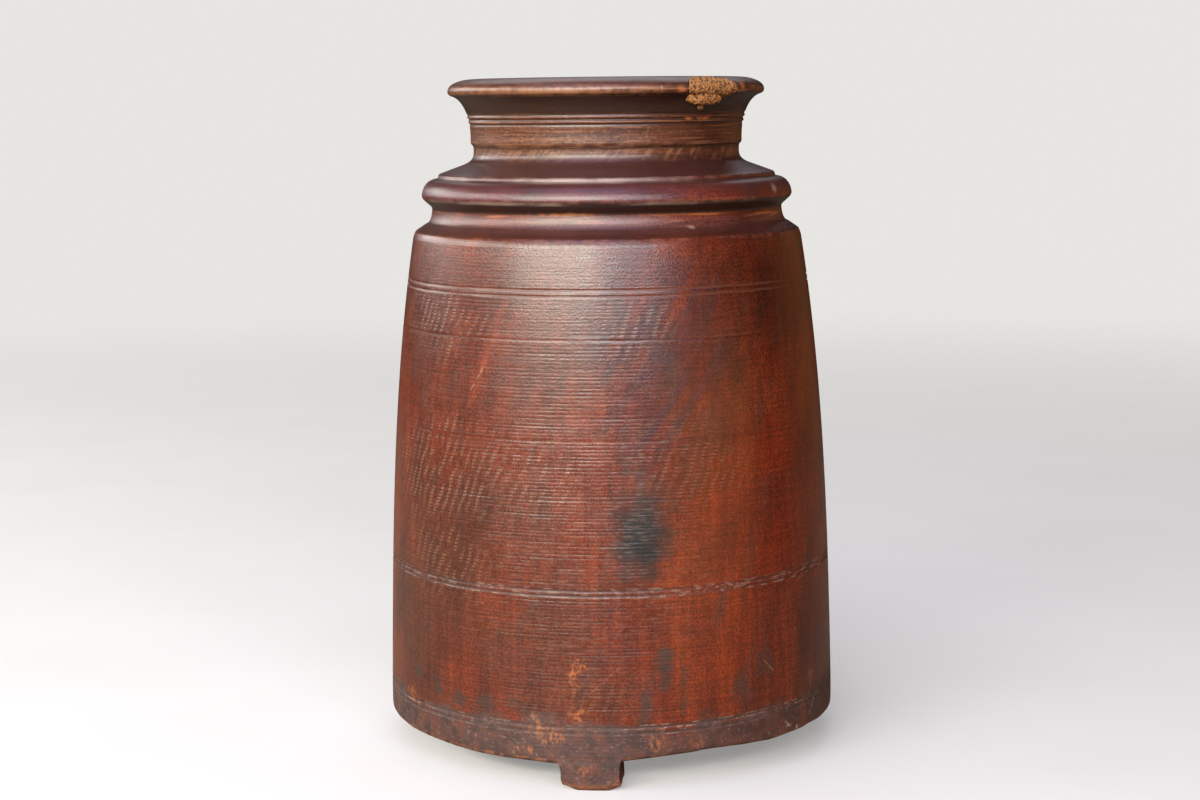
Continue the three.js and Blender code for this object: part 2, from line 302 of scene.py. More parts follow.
for level, cut, ring, valley in wall_stations():
    station = {"at": Vector((wall_radius(level), level)), "inside": 0.0, "wall": True}
    profile.append({**station, "cut": cut, "ring": ring, "valley": valley})
print("stations up to the shoulder:", len(profile))

# %% Ledge, cove, flange and slope
LEDGE_WIDTH = 8.8
LEDGE_RISE = 4.5
COVE_HEIGHT = 12.5
COVE_DEPTH = 5
FLANGE_UNDERCUT = 7.7
FLANGE_UNDERCUT_RISE = 6
FLANGE_EDGE = 2
FLANGE_ROUND_WIDTH = 11
FLANGE_ROUND_HEIGHT = 13
FILLET_SET_IN = 1.2
FILLET_HEIGHT = 3.5
FILLET_LEAN = 0.8
FILLET_GAP = 0.6
SLOPE_WIDTH = 27.4
SLOPE_RISE = 9.5
SLOPE_BLEND = 8
SLOPE_GAP = 1.3
NECK_HEIGHT = 11
FINE_GAP = 0.9
BEND_STEPS = 12

shoulder_radius = BELLY_RADIUS - WALL_TAPER - WALL_BOW
ledge_radius = shoulder_radius - LEDGE_WIDTH
ledge_top = shoulder_edge + LEDGE_RISE
cove_top = ledge_top + COVE_HEIGHT
flange_radius = ledge_radius - COVE_DEPTH + FLANGE_UNDERCUT
flange_low = cove_top + FLANGE_UNDERCUT_RISE
flange_belly = flange_low + FLANGE_EDGE
flange_top = flange_belly + FLANGE_ROUND_HEIGHT
flange_top_radius = flange_radius - FLANGE_ROUND_WIDTH
fillet_radius = flange_top_radius - FILLET_SET_IN
fillet_top = flange_top + FILLET_HEIGHT
neck_foot = fillet_top + SLOPE_RISE
neck_top = neck_foot + NECK_HEIGHT
neck_radius = fillet_radius - SLOPE_WIDTH


def bend(start, corner, end):
    """Points on a curve from start to end that leans towards the corner."""
    shares = [i / BEND_STEPS for i in range(BEND_STEPS + 1)]
    return [start.lerp(corner, s).lerp(corner.lerp(end, s), s) for s in shares]


edge_radius = shoulder_radius - SHOULDER_ROUND
edge_arc = arc(edge_radius, shoulder_edge - SHOULDER_ROUND, SHOULDER_ROUND, SHOULDER_ROUND, 0, 60)
follow([*edge_arc, (ledge_radius, ledge_top)], FINE_GAP)
follow(arc(ledge_radius, cove_top, COVE_DEPTH, COVE_HEIGHT, -90, -180), FINE_GAP)
cove_end = (ledge_radius - COVE_DEPTH, cove_top)
flange_corner = (flange_radius - FLANGE_EDGE / 2, flange_low)
follow([cove_end, flange_corner, (flange_radius, flange_belly)], FINE_GAP)
flange = arc(flange_top_radius, flange_belly, FLANGE_ROUND_WIDTH, FLANGE_ROUND_HEIGHT, 0, 90)
follow(flange, FINE_GAP)
fillet_end = (fillet_radius - FILLET_LEAN, fillet_top)
follow([(fillet_radius, flange_top), fillet_end], FILLET_GAP)
slope_end = Vector((neck_radius + SLOPE_BLEND, neck_foot - SLOPE_RISE * SLOPE_BLEND / SLOPE_WIDTH))
neck_start = Vector((neck_radius, neck_foot + NECK_HEIGHT / 2))
slope = bend(slope_end, Vector((neck_radius, neck_foot)), neck_start)
follow([fillet_end, *slope, (neck_radius, neck_top)], SLOPE_GAP)
print("stations up to the neck:", len(profile))

# %% Collar, flare with its two beads, and lip
STEP_OUT = 2.1
STEP_RISE = 2
COLLAR_HEIGHT = 5
FLARE_WIDTH = 16
FLARE_HEIGHT = 30.6
FLARE_SWEEP = 80
FLARE_STEPS = 120
FIRST_BEAD_RISE = 11.1
BEAD_PITCH = 3.5
BEAD_RELIEF = 0.7
BEAD_COUNT = 2
BEAD_FADE = 1.2
COLLAR_GAP = 0.7
BEAD_GAP = 0.55
LIP_ROLL = 3.8
CROWN_WIDTH = 19.4
CROWN_HEIGHT = 9

collar_radius = neck_radius + STEP_OUT
collar_foot = neck_top + STEP_RISE
flare_foot = collar_foot + COLLAR_HEIGHT
lip_low = flare_foot + FLARE_HEIGHT * math.sin(math.radians(FLARE_SWEEP))
lip_belly = lip_low + LIP_ROLL
rim_top = lip_belly + CROWN_HEIGHT


def bead_offset(rise):
    """How far the beaded band stands out from the plain flare at a rise above the collar."""
    start = FIRST_BEAD_RISE - BEAD_PITCH / 2
    end = start + BEAD_COUNT * BEAD_PITCH
    if start <= rise <= end:
        return -BEAD_RELIEF * math.cos(2 * math.pi * (rise - start) / BEAD_PITCH)
    away = min(abs(rise - start), abs(rise - end))
    return -BEAD_RELIEF * max(0.0, 1 - away / BEAD_FADE)


def flare_point(sweep):
    """A point on the beaded flare, by its sweep from the collar in degrees."""
    out = FLARE_WIDTH * (1 - math.cos(math.radians(sweep)))
    rise = FLARE_HEIGHT * math.sin(math.radians(sweep))
    return Vector((collar_radius + out + bead_offset(rise), flare_foot + rise))


flare = [flare_point(FLARE_SWEEP * i / FLARE_STEPS) for i in range(FLARE_STEPS + 1)]
follow([(neck_radius, neck_top), (collar_radius, collar_foot), flare[0]], COLLAR_GAP)
follow(flare, BEAD_GAP)
lip_radius = flare[-1].x + LIP_ROLL
crown_radius = lip_radius - CROWN_WIDTH
roll_arc = arc(lip_radius - LIP_ROLL, lip_belly, LIP_ROLL, LIP_ROLL, -60, 0)
crown_arc = arc(crown_radius, lip_belly, CROWN_WIDTH, CROWN_HEIGHT, 15, 90)
follow([*roll_arc, *crown_arc], FINE_GAP)
print("lip radius:", round(lip_radius, 2), "rim at", round(rim_top, 3))

# %% Hollow
NECK_WALL = 18
MOUTH_ROUND = 5
BODY_WALL = 20
FLOOR_THICKNESS = 28
FLOOR_ROUND = 34
DOME_DROP = 10
DOME_HEIGHT = 70
RIM_GAP = 2.5
MOUTH_GAP = 1.2

bore_radius = neck_radius - NECK_WALL
dome_foot = neck_foot - DOME_DROP - DOME_HEIGHT
dome_width = wall_radius(dome_foot) - BODY_WALL - bore_radius
floor_level = FOOT_HEIGHT + FLOOR_THICKNESS
floor_round_level = floor_level + FLOOR_ROUND
inner_radius = wall_radius(floor_round_level) - BODY_WALL
mouth = arc(bore_radius + MOUTH_ROUND, rim_top - MOUTH_ROUND, MOUTH_ROUND, MOUTH_ROUND, 90, 180)
follow([(crown_radius, rim_top), mouth[0]], RIM_GAP)
follow(mouth, MOUTH_GAP)
dome = arc(bore_radius, dome_foot, dome_width, DOME_HEIGHT, 90, 0)
follow([mouth[-1], *dome], INNER_GAP / 2, inside=1.0)
wall_levels = (dome_foot, (dome_foot + floor_round_level) / 2, floor_round_level)
inner_wall = [(wall_radius(level) - BODY_WALL, level) for level in wall_levels]
floor_arc = arc(inner_radius - FLOOR_ROUND, floor_round_level, FLOOR_ROUND, FLOOR_ROUND, 0, -90)
follow([*inner_wall, *floor_arc, (0, floor_level)], INNER_GAP, inside=1.0)
print("profile stations:", len(profile))

# %% [markdown]
# ## Worn corners
# Years of handling round every arris of the mouldings. Averaging each point with its neighbours
# does the same to the profile. How sharply the line turns is kept as well, because the finish
# needs it: wood shows pale where a corner sticks out, and where it turns in it is darkened,
# partly as dirt and partly as painted shade.

# %% Soften the mouldings and note edges and grooves
SOFTEN_PASSES = 2
SOFTEN_REACH = 4
FULL_TURN_OF_EDGE = 0.55


def softened(stations):
    """New places for the moulding points, each drawn towards the middle of its neighbours."""
    places = [station["at"].copy() for station in stations]
    for i in range(1, len(stations) - 1):
        near = (places[i + 1] - places[i - 1]).length < SOFTEN_REACH
        if near and not stations[i]["wall"]:
            middle = (stations[i - 1]["at"] + stations[i + 1]["at"]) / 2
            places[i] = stations[i]["at"].lerp(middle, 0.5)
    return places


for _ in range(SOFTEN_PASSES):
    for station, place in zip(profile, softened(profile)):
        station["at"] = place

for i, station in enumerate(profile):
    before = profile[max(0, i - 2)]["at"]
    after = profile[min(len(profile) - 1, i + 2)]["at"]
    coming, going = station["at"] - before, after - station["at"]
    station["turn"] = 0.0
    if coming.length and going.length and not station["wall"]:
        station["turn"] = math.atan2(coming.x * going.y - coming.y * going.x, coming.dot(going))
    along = (after - before).normalized()
    station["upward"] = max(0.0, -along.x) * (1 - station["inside"])
print("sharpest corner:", round(math.degrees(max(s["turn"] for s in profile))), "degrees")

# %% [markdown]
# ## Spin the profile
# The profile is drawn by extruding one point again and again, and a full spin closes it. A few
# numbers ride on each point and the spin copies them round: how deep the tool cut there, whether
# it is in a ring or inside, how much of an edge or a groove it is, and how far it faces upward.
# They steer the finish later.

# %% Draw the profile and spin it
TURN_STEPS = 128
MERGE = 0.01 * MM

turning = bmesh.new()
MARKS = ("cut", "ring", "valley", "inside", "edge", "groove", "upward")
marks = {name: turning.verts.layers.float.new(name) for name in MARKS}
pen = bmesh.ops.create_vert(turning, co=(0, 0, profile[0]["at"].y * MM))["vert"][0]
for i, station in enumerate(profile):
    if i:
        pen = bmesh.ops.extrude_vert_indiv(turning, verts=[pen])["verts"][0]
    pen.co = Vector((station["at"].x * MM, 0, station["at"].y * MM))
    for name in ("cut", "ring", "valley", "inside", "upward"):
        pen[marks[name]] = station[name]
    pen[marks["edge"]] = min(1.0, max(0.0, station["turn"] / FULL_TURN_OF_EDGE))
    pen[marks["groove"]] = min(1.0, max(0.0, -station["turn"] / FULL_TURN_OF_EDGE))
outline = turning.verts[:] + turning.edges[:]
once_round = {"axis": (0, 0, 1), "angle": 2 * math.pi, "steps": TURN_STEPS, "use_merge": True}
bmesh.ops.spin(turning, geom=outline, **once_round)
bmesh.ops.remove_doubles(turning, verts=turning.verts[:], dist=MERGE)
bmesh.ops.recalc_face_normals(turning, faces=turning.faces[:])
print("turned surface:", len(turning.verts), "points,", len(turning.faces), "faces")

# %% [markdown]
# ## Cut the ridges
# The gouge didn't bite evenly. Some sides of the log are worn almost smooth, and the ridges are
# deep where the wood was soft. So each point is moved in by its own cut, times how strongly the
# tool marks survive on that side. The log has also dried a little out of round.

# %% Ridge strength round the pot
WORN_SIDES = ((-22, 0.42, 0.82, 0.88), (-172, 0.62, 0.90, 0.60), (62, 0.80, 0.95, 0.5))
LEAST_RIDGE = 0.08
RIDGE_PATCHES = 6.0
RING_PATCHES = 5.0
OUT_OF_ROUND = 0.35
RING_WAVER = 0.5


def ease(low, high, value):
    """A smooth step from 0 at low to 1 at high."""
    share = min(1.0, max(0.0, (value - low) / (high - low)))
    return share * share * (3 - 2 * share)


def polar(point):
    """Bearing in radians, and radius and height in millimetres, of a point of a mesh."""
    return math.atan2(point.co.y, point.co.x), point.co.xy.length / MM, point.co.z / MM


def ridge_strength(bearing, height):
    """How much of the ridge depth is left on this side, from 0 to about 1.2."""
    left = 1.0
    for side, begins, full, share in WORN_SIDES:
        facing = math.cos(bearing - math.radians(side))
        left -= share * ease(begins, full, facing)
    round_about = Vector((math.cos(bearing), math.sin(bearing), height * 0.03))
    return max(LEAST_RIDGE, left) * max(0.25, 1 + 0.9 * noise.noise(round_about * RIDGE_PATCHES))


def ring_strength(around):
    """How cleanly a ring is cut here, from nearly lost to full, from a place on the unit circle."""
    return min(1.1, max(0.15, 0.75 + 0.9 * noise.noise(around * RING_PATCHES)))


for point in turning.verts:
    bearing, radius, height = polar(point)
    if radius < 1:
        continue
    around = Vector((math.cos(bearing), math.sin(bearing), height * 0.004))
    if point[marks["ring"]]:
        point[marks["cut"]] *= ring_strength(around)
        point.co.z += RING_WAVER * noise.noise(around * 14) * MM
    else:
        point[marks["cut"]] *= ridge_strength(bearing, height)
    cut = point[marks["cut"]]
    if not point[marks["inside"]]:
        cut += OUT_OF_ROUND * (0.5 + 0.5 * noise.noise(around * 1.1)) * min(1.0, radius / 90)
    share = (radius - cut) / radius
    point.co.x *= share
    point.co.y *= share
print("deepest cut:", round(max(point[marks["cut"]] for point in turning.verts), 2), "mm")

# %% [markdown]
# ## Bottom edge
# Between the feet the maker scooped the foot ring away with a gouge, by hand, so the bottom edge
# of the wall rises and falls by a few millimetres and swells where it runs into each foot. The
# lowest points of the spun wall are lifted or dropped to follow that, less and less with height.

# %% Wavy bottom edge
FOOT_COUNT = 3
FIRST_FOOT_BEARING = -96.3
FOOT_BEARINGS = [FIRST_FOOT_BEARING + 360 / FOOT_COUNT * i for i in range(FOOT_COUNT)]
SCOOPED = (
    (-180, 22.6), (-156, 22.2), (-138, 21.1), (-125, 19.9), (-104, 18.6), (-89, 20.4), (-80, 23.2),
    (-68, 24.9), (-60, 25.2), (-50, 23.1), (-30, 22.9), (0, 20.8), (24, 19.2), (50, 23.4),
    (75, 25.0), (100, 22.0), (130, 21.2), (150, 19.6), (165, 22.4), (180, 22.6),
)
SCOOP_REACH = 20
SCOOP_INNER = 14
RIPPLE = 0.7


def facing_out(bearing):
    """The level unit vector at a bearing in degrees."""
    turn = math.radians(bearing)
    return Vector((math.cos(turn), math.sin(turn), 0))


def scooped_edge(bearing):
    """Height of the wall's bottom edge at a bearing in degrees."""
    return between(SCOOPED, bearing) + RIPPLE * noise.noise(facing_out(bearing) * 9)


for point in turning.verts:
    bearing, radius, height = polar(point)
    if height > FOOT_HEIGHT + SCOOP_REACH or radius < ring_inner - SCOOP_INNER:
        continue
    lift = scooped_edge(math.degrees(bearing)) - FOOT_HEIGHT
    fade = 1 - ease(0, SCOOP_REACH, height - FOOT_HEIGHT)
    inward = ease(ring_inner - SCOOP_INNER, ring_inner + 6, radius)
    point.co.z += lift * fade * inward * MM
print("bottom edge from", min(h for _, h in SCOOPED), "to", max(h for _, h in SCOOPED), "mm")

# %% Turned body as an object
def finished(name, mesh_tool):
    """The bmesh as a smooth-shaded object at the origin."""
    mesh = bpy.data.meshes.new(name)
    mesh_tool.to_mesh(mesh)
    mesh_tool.free()
    mesh.shade_smooth()
    piece = bpy.data.objects.new(name, mesh)
    scene.collection.objects.link(piece)
    return piece


pot = finished("ghee_pot", turning)

# %% [markdown]
# ## Feet
# Three blocks of the foot ring were left standing. Each is worn by a century of floors: corners
# rounded away unevenly, sides leaning, the root spreading into the wall. A cube with many cuts is
# bent round to the wall's radius, shaped, and joined to the body as one solid.

# %% Shape a foot
FOOT_WIDTH = 42
FOOT_LEAN = 2.6
FOOT_TAPER = 0.3
FOOT_ROOT = 9
FOOT_PROUD = 0.15
FOOT_SINK = 0.9
FOOT_CUTS = 15
ROOT_BELOW = 9
ROOT_SPREAD = 5
SINK_BELOW = 4
ARRIS = 2.4
ARRIS_HEIGHT = 3.5
EDGE_HEIGHT = 5
WOBBLE = 0.5
CORNER_WEAR = ((9.0, 3.0, 12.0, 3.6), (13.0, 3.0, 8.0, 4.0), (10.0, 4.4, 11.0, 3.0))


def corner_rise(across, half, wear):
    """How far the foot's bottom is worn up at a distance across from its middle."""
    left_width, left_rise, right_width, right_rise = wear
    left = ease(0, left_width, left_width - (half + across)) * left_rise
    right = ease(0, right_width, right_width - (half - across)) * right_rise
    return left + right


def foot_block(bearing, wear):
    """One foot as an object, standing in its place under the wall."""
    shape = bmesh.new()
    edge_mark = shape.verts.layers.float.new("edge")
    for name in ("cut", "ring", "valley", "inside", "groove", "upward"):
        shape.verts.layers.float.new(name)
    bmesh.ops.create_cube(shape, size=1)
    bmesh.ops.subdivide_edges(shape, edges=shape.edges[:], cuts=FOOT_CUTS, use_grid_fill=True)
    tall = FOOT_HEIGHT + FOOT_ROOT
    face = wall_radius(FOOT_HEIGHT) + FOOT_PROUD - OUT_OF_ROUND / 2
    for point in shape.verts:
        level = (point.co.z + 0.5) ** 1.5
        depth = point.co.y + 0.5
        height = level * tall
        spread_out = ROOT_SPREAD * ease(FOOT_HEIGHT - ROOT_BELOW, tall, height)
        half = FOOT_WIDTH / 2 - FOOT_TAPER * (1 - level) + spread_out
        across = 2 * point.co.x * half - FOOT_LEAN * (1 - level)
        rise = corner_rise(2 * point.co.x * half, half, wear) * (1 - level)
        round_edge = ARRIS * max(0.0, 1 - height / ARRIS_HEIGHT) ** 2
        sunk = FOOT_SINK * ease(FOOT_HEIGHT - SINK_BELOW, tall, height)
        outer = face - round_edge - sunk
        radius = ring_inner + depth * (outer - ring_inner)
        wobble = noise.noise(Vector((across, radius, height + bearing)) * 0.16)
        place = Vector((across + WOBBLE * wobble, math.sqrt(radius**2 - across**2), height + rise))
        place.z += WOBBLE * max(0.0, wobble) * (1 - level)
        point.co = place * MM
        point[edge_mark] = 1 - ease(0, EDGE_HEIGHT, height)
    bmesh.ops.recalc_face_normals(shape, faces=shape.faces[:])
    turn = Matrix.Rotation(math.radians(bearing - 90), 4, "Z")
    bmesh.ops.transform(shape, matrix=turn, verts=shape.verts[:])
    return finished("foot", shape)


# %% Join the feet to the body
def carry_out(piece):
    """Makes the change that a modifier asks for, and takes the modifier away."""
    graph = bpy.context.evaluated_depsgraph_get()
    mesh = bpy.data.meshes.new_from_object(piece.evaluated_get(graph))
    piece.modifiers.clear()
    piece.data = mesh


def combine(piece, tool, way):
    """Joins or cuts one solid with another, and throws the tool away."""
    step = piece.modifiers.new("combine", "BOOLEAN")
    step.operation = way
    step.solver = "MANIFOLD"
    step.object = tool
    carry_out(piece)
    bpy.data.objects.remove(tool)


for bearing, wear in zip(FOOT_BEARINGS, CORNER_WEAR):
    combine(pot, foot_block(bearing, wear), "UNION")
print("body with feet:", len(pot.data.vertices), "points")

# %% [markdown]
# ## Chip in the lip
# Part of the lip has broken away and a ragged bite is left. An upright prism with an uneven
# outline stands for the break and is cut out of the pot, which leaves the thin crest of wood
# behind it standing.

# %% Cut the chip
CHIP_BEARING = -48.8
CHIP_LENGTH = 50
CHIP_DEPTH = 12.5
CHIP_BELOW_LIP = 4
CHIP_SIDES = 72
CHIP_TOOL_HEIGHT = 30
RAGGED = 0.5


def chip_tool():
    """A ragged upright prism over the broken place."""
    shape = bmesh.new()
    bmesh.ops.create_circle(shape, cap_ends=True, segments=CHIP_SIDES, radius=1)
    for point in shape.verts:
        rough = 1 + RAGGED / CHIP_DEPTH * noise.noise(point.co * 4.0)
        point.co.x *= CHIP_LENGTH / 2 * rough
        point.co.y = point.co.y * CHIP_DEPTH * rough + lip_radius
        point.co.z = lip_low - CHIP_BELOW_LIP
    top = bmesh.ops.extrude_face_region(shape, geom=shape.faces[:])["geom"]
    raised = [part for part in top if isinstance(part, bmesh.types.BMVert)]
    bmesh.ops.translate(shape, vec=(0, 0, CHIP_TOOL_HEIGHT), verts=raised)
    bmesh.ops.scale(shape, vec=(MM, MM, MM), verts=shape.verts[:])
    turn = Matrix.Rotation(math.radians(CHIP_BEARING - 90), 4, "Z")
    bmesh.ops.transform(shape, matrix=turn, verts=shape.verts[:])
    bmesh.ops.recalc_face_normals(shape, faces=shape.faces[:])
    return finished("chip", shape)


combine(pot, chip_tool(), "DIFFERENCE")
pot.data.shade_smooth()
pot.data.set_sharp_from_angle(angle=math.radians(50))
print("body after the chip:", len(pot.data.polygons), "faces", [a.name for a in pot.data.attributes])

# %% [markdown]
# ## Filler
# Someone packed the break with a coarse paste that squeezed out below the lip and set. Its solid
# in the part is already the right shape, so a merged copy of that mesh is remeshed finely and its
# skin is roughened with noise at two sizes, lumps and grains.

# %% Rough filler
VOXEL = 0.6 * MM
SMOOTHING = 0.5
LUMPS = (0.30, 0.9)
GRAINS = (0.75, 0.75)
SKIN_SWELL = 0.25
RIM_CLEARANCE = 0.3


def roughness_at(place):
    """How far the filler's skin stands in or out at a place in millimetres."""
    lumps = noise.noise(place * LUMPS[0]) * LUMPS[1]
    grains = noise.noise(place * GRAINS[0] + Vector((9, 2, 5))) * GRAINS[1]
    return lumps + grains


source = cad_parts["rim_repair"]
paste = bmesh.new()
paste.from_mesh(source.data)
bmesh.ops.transform(paste, matrix=source.matrix_world, verts=paste.verts[:])
bmesh.ops.remove_doubles(paste, verts=paste.verts[:], dist=MERGE)
filler = finished("rim_filler", paste)
filler.data.materials.clear()
remesh = filler.modifiers.new("fine skin", "REMESH")
remesh.mode = "VOXEL"
remesh.voxel_size = VOXEL
carry_out(filler)

rough = bmesh.new()
rough.from_mesh(filler.data)
axes = {"use_axis_x": True, "use_axis_y": True, "use_axis_z": True}
bmesh.ops.smooth_vert(rough, verts=rough.verts[:], factor=SMOOTHING, **axes)
rough.normal_update()
shift = [point.normal * (roughness_at(point.co / MM) + SKIN_SWELL) * MM for point in rough.verts]
for point, move in zip(rough.verts, shift):
    point.co += move
    point.co.z = min(point.co.z, (rim_top - RIM_CLEARANCE) * MM)
rough.to_mesh(filler.data)
rough.free()
filler.data.shade_smooth()
print("filler skin:", len(filler.data.polygons), "faces")

# %% [markdown]
# ## Nodes in short
# Finishes are built from nodes. Small helpers keep each step on one line: they add a node and
# join its inputs, do arithmetic, or mix two colours by a mask. All of them work in the node tree
# that is being filled, which always has the name tree.

# %% Node helpers
def fill(made, given):
    """Sets or joins the named inputs of a node, and gives the node back."""
    for name, value in given.items():
        if isinstance(value, bpy.types.NodeSocket):
            tree.links.new(value, made.inputs[name])
        else:
            made.inputs[name].default_value = value
    return made


def node(kind, given=None, **settings):
    """A shader node of a kind, with its settings and its inputs."""
    made = tree.nodes.new("ShaderNode" + kind)
    for name, value in settings.items():
        setattr(made, name, value)
    return fill(made, given or {})


def maths(way, *values):
    """The result of one sum on one, two or three values."""
    return node("Math", dict(enumerate(values)), operation=way).outputs[0]


def both(first, second):
    """Two masks multiplied, which leaves what lies in both."""
    return maths("MULTIPLY", first, second)


def any_of(masks):
    """One mask that is as strong as the strongest of several."""
    strongest = masks[0]
    for mask in masks[1:]:
        strongest = maths("MAXIMUM", strongest, mask)
    return strongest


def vectors(way, *values):
    """The outputs of one sum on vectors."""
    return node("VectorMath", dict(enumerate(values)), operation=way).outputs


def mixed(share, first, second, way="MIX"):
    """Two colours mixed by a share."""
    given = {0: share, 6: first, 7: second}
    return node("Mix", given, data_type="RGBA", blend_type=way).outputs[2]


def spread(value, low, high, to_low=0.0, to_high=1.0):
    """A value between low and high, eased and stretched to a new range."""
    given = {"Value": value, "From Min": low, "From Max": high, "To Min": to_low, "To Max": to_high}
    return node("MapRange", given, interpolation_type="SMOOTHSTEP").outputs["Result"]


def own_place():
    """The place of each point in the object's own metres."""
    return node("TexCoord").outputs["Object"]


def cloud(place, size, detail):
    """Noise between 0 and 1."""
    return node("TexNoise", {"Vector": place, "Scale": size, "Detail": detail}).outputs[0]


def uneven(place, size, detail, amount):
    """Noise round nought, times an amount."""
    return both(maths("SUBTRACT", cloud(place, size, detail), 0.5), amount)


def mark_of(name):
    """One of the numbers that ride on the mesh."""
    return node("Attribute", attribute_name=name).outputs["Fac"]


def new_group(name, **takes):
    """An empty node group with named inputs, and the place where its mask goes out."""
    group = bpy.data.node_groups.new(name, "ShaderNodeTree")
    for label, value in takes.items():
        kind = "Vector" if isinstance(value, tuple) else "Float"
        socket = group.interface.new_socket(label, in_out="INPUT", socket_type="NodeSocket" + kind)
        socket.default_value = value
    group.interface.new_socket("Mask", in_out="OUTPUT", socket_type="NodeSocketFloat")
    entry = group.nodes.new("NodeGroupInput")
    leave = group.nodes.new("NodeGroupOutput")
    return group, entry.outputs, leave.inputs["Mask"]


def place_group(group, given):
    """The mask of a node group that is placed in the tree."""
    made = tree.nodes.new("ShaderNodeGroup")
    made.node_tree = group
    return fill(made, given).outputs[0]


# %% [markdown]
# ## Streaks, patches, bands and scratches
# Most marks on old wood are one of four things. Streaks are noise stretched along the grain or
# round the pot, and they can lean like a screw thread. Patches are ragged blots at one place, such
# as a stain or a knock. Bands run all round between two heights. A scratch is a thin line between
# two points, with an uneven edge.

# %% Streaks group
stretch = {"Across": 100.0, "Along": 10.0, "Lean": 0.0, "Shift": 0.0}
tree, given, out = new_group("streaks", **stretch, Detail=2.0, Low=0.35, High=0.65)
place = own_place()
angle = both(node("SeparateXYZ", {0: place}).outputs["Z"], given["Lean"])
leaning = node("VectorRotate", {"Vector": place, "Angle": angle}, rotation_type="Z_AXIS")
scale = node("CombineXYZ", {"X": given["Across"], "Y": given["Across"], "Z": given["Along"]})
shift = node("CombineXYZ", dict.fromkeys("XYZ", given["Shift"]))
stretched = vectors("MULTIPLY_ADD", leaning.outputs[0], scale.outputs[0], shift.outputs[0])[0]
mask = spread(cloud(stretched, 1.0, given["Detail"]), given["Low"], given["High"])
tree.links.new(mask, out)
streaks = tree

# %% Patch group
size = (0.02, 0.02, 0.02)
tree, given, out = new_group("patch", Place=(0, 0, 0), Size=size, Ragged=0.6, Grain=90.0, Core=0.55)
place = own_place()
away = vectors("SUBTRACT", place, given["Place"])[0]
distance = vectors("LENGTH", vectors("DIVIDE", away, given["Size"])[0])["Value"]
ragged = maths("MULTIPLY_ADD", uneven(place, given["Grain"], 1.5, given["Ragged"]), 2.0, distance)
tree.links.new(maths("SUBTRACT", 1.0, spread(ragged, given["Core"], 1.15)), out)
patch = tree

# %% Band group
tree, given, out = new_group("band", Low=0.0, High=0.1, Soft=0.004, Waver=0.002)
place = own_place()
waver = uneven(place, 34.0, 3.0, given["Waver"])
height = maths("MULTIPLY_ADD", waver, 2.0, node("SeparateXYZ", {0: place}).outputs["Z"])
above = spread(height, maths("SUBTRACT", given["Low"], given["Soft"]), given["Low"])
below = spread(height, maths("ADD", given["High"], given["Soft"]), given["High"])
tree.links.new(both(above, below), out)
band = tree

# %% Scratch group
ends = {"From": (0, 0, 0), "To": (0, 0, 0.01)}
tree, given, out = new_group("scratch", **ends, Width=0.001, Gaps=0.5)
place = own_place()
reach = vectors("SUBTRACT", given["To"], given["From"])[0]
away = vectors("SUBTRACT", place, given["From"])[0]
run = vectors("DOT_PRODUCT", away, reach)["Value"]
whole = vectors("DOT_PRODUCT", reach, reach)["Value"]
along = node("Clamp", {"Value": maths("DIVIDE", run, whole)}).outputs[0]
nearest = node("VectorMath", {0: reach, "Scale": along}, operation="SCALE").outputs[0]
distance = vectors("LENGTH", vectors("SUBTRACT", away, nearest)[0])["Value"]
distance = maths("MULTIPLY_ADD", uneven(place, 320.0, 3.0, given["Gaps"]), 0.012, distance)
tree.links.new(maths("SUBTRACT", 1.0, spread(distance, 0.0, given["Width"])), out)
scratch = tree
print("groups:", [group.name for group in bpy.data.node_groups])

# %% [markdown]
# ## Turned wood
# The wood is a red-brown hardwood, dark with old butter and smoke. Its grain runs up the axis, so
# fibres are upright flecks. Valleys between the ridges are darkened, partly as dirt and partly as
# painted shade, ridge crests carry painted highlights, and raw orange wood shows at knocks. Some
# tints paint shade and sheen as well. A satin gloss gives the long soft highlight.

# %% Wood colour
DEEP = (0.026, 0.0055, 0.0035, 1)
RED = (0.084, 0.0115, 0.0036, 1)
ORANGE = (0.132, 0.0205, 0.0045, 1)
EMBER = (0.20, 0.038, 0.010, 1)
BROWN = (0.053, 0.0148, 0.0075, 1)
DEEP_RED_AND_SHADE = (0.043, 0.0056, 0.0015, 1)
GLOW = (0.112, 0.0095, 0.0007, 1)
PURPLE_SHEEN = (0.066, 0.014, 0.021, 1)
TAN = (0.240, 0.110, 0.055, 1)
SOOT = (0.014, 0.007, 0.005, 1)
VALLEY_DIRT_AND_SHADE = (0.036, 0.010, 0.005, 1)
ASH = (0.024, 0.022, 0.019, 1)
SLATE = (0.008, 0.011, 0.0105, 1)
RAW = (0.33, 0.108, 0.034, 1)
DULL = (0.050, 0.029, 0.025, 1)
CHALK = (0.27, 0.20, 0.16, 1)
CREST_HIGHLIGHT = (0.21, 0.110, 0.062, 1)
FLAME_SHADOW = (0.030, 0.013, 0.017, 1)
RED_END = (0.100, 0.015, 0.006, 1)
LEDGE_SHEEN = (0.125, 0.040, 0.036, 1)
NECK_BROWN = (0.088, 0.034, 0.013, 1)
UPWARD_DIRT_AND_SHADE = (0.038, 0.013, 0.009, 1)
UNDERCUT_SHADE = (0.013, 0.004, 0.002, 1)
SMUDGE = (0.020, 0.011, 0.010, 1)
RUST = (0.12, 0.030, 0.012, 1)
WORN_EDGE = (0.25, 0.095, 0.038, 1)


def new_material(name):
    """An empty material, its node tree and its Principled shader."""
    material = bpy.data.materials.new(name)
    material.use_nodes = True
    nodes = material.node_tree.nodes
    nodes.clear()
    shader = nodes.new("ShaderNodeBsdfPrincipled")
    output = nodes.new("ShaderNodeOutputMaterial")
    material.node_tree.links.new(shader.outputs["BSDF"], output.inputs["Surface"])
    return material, material.node_tree, shader


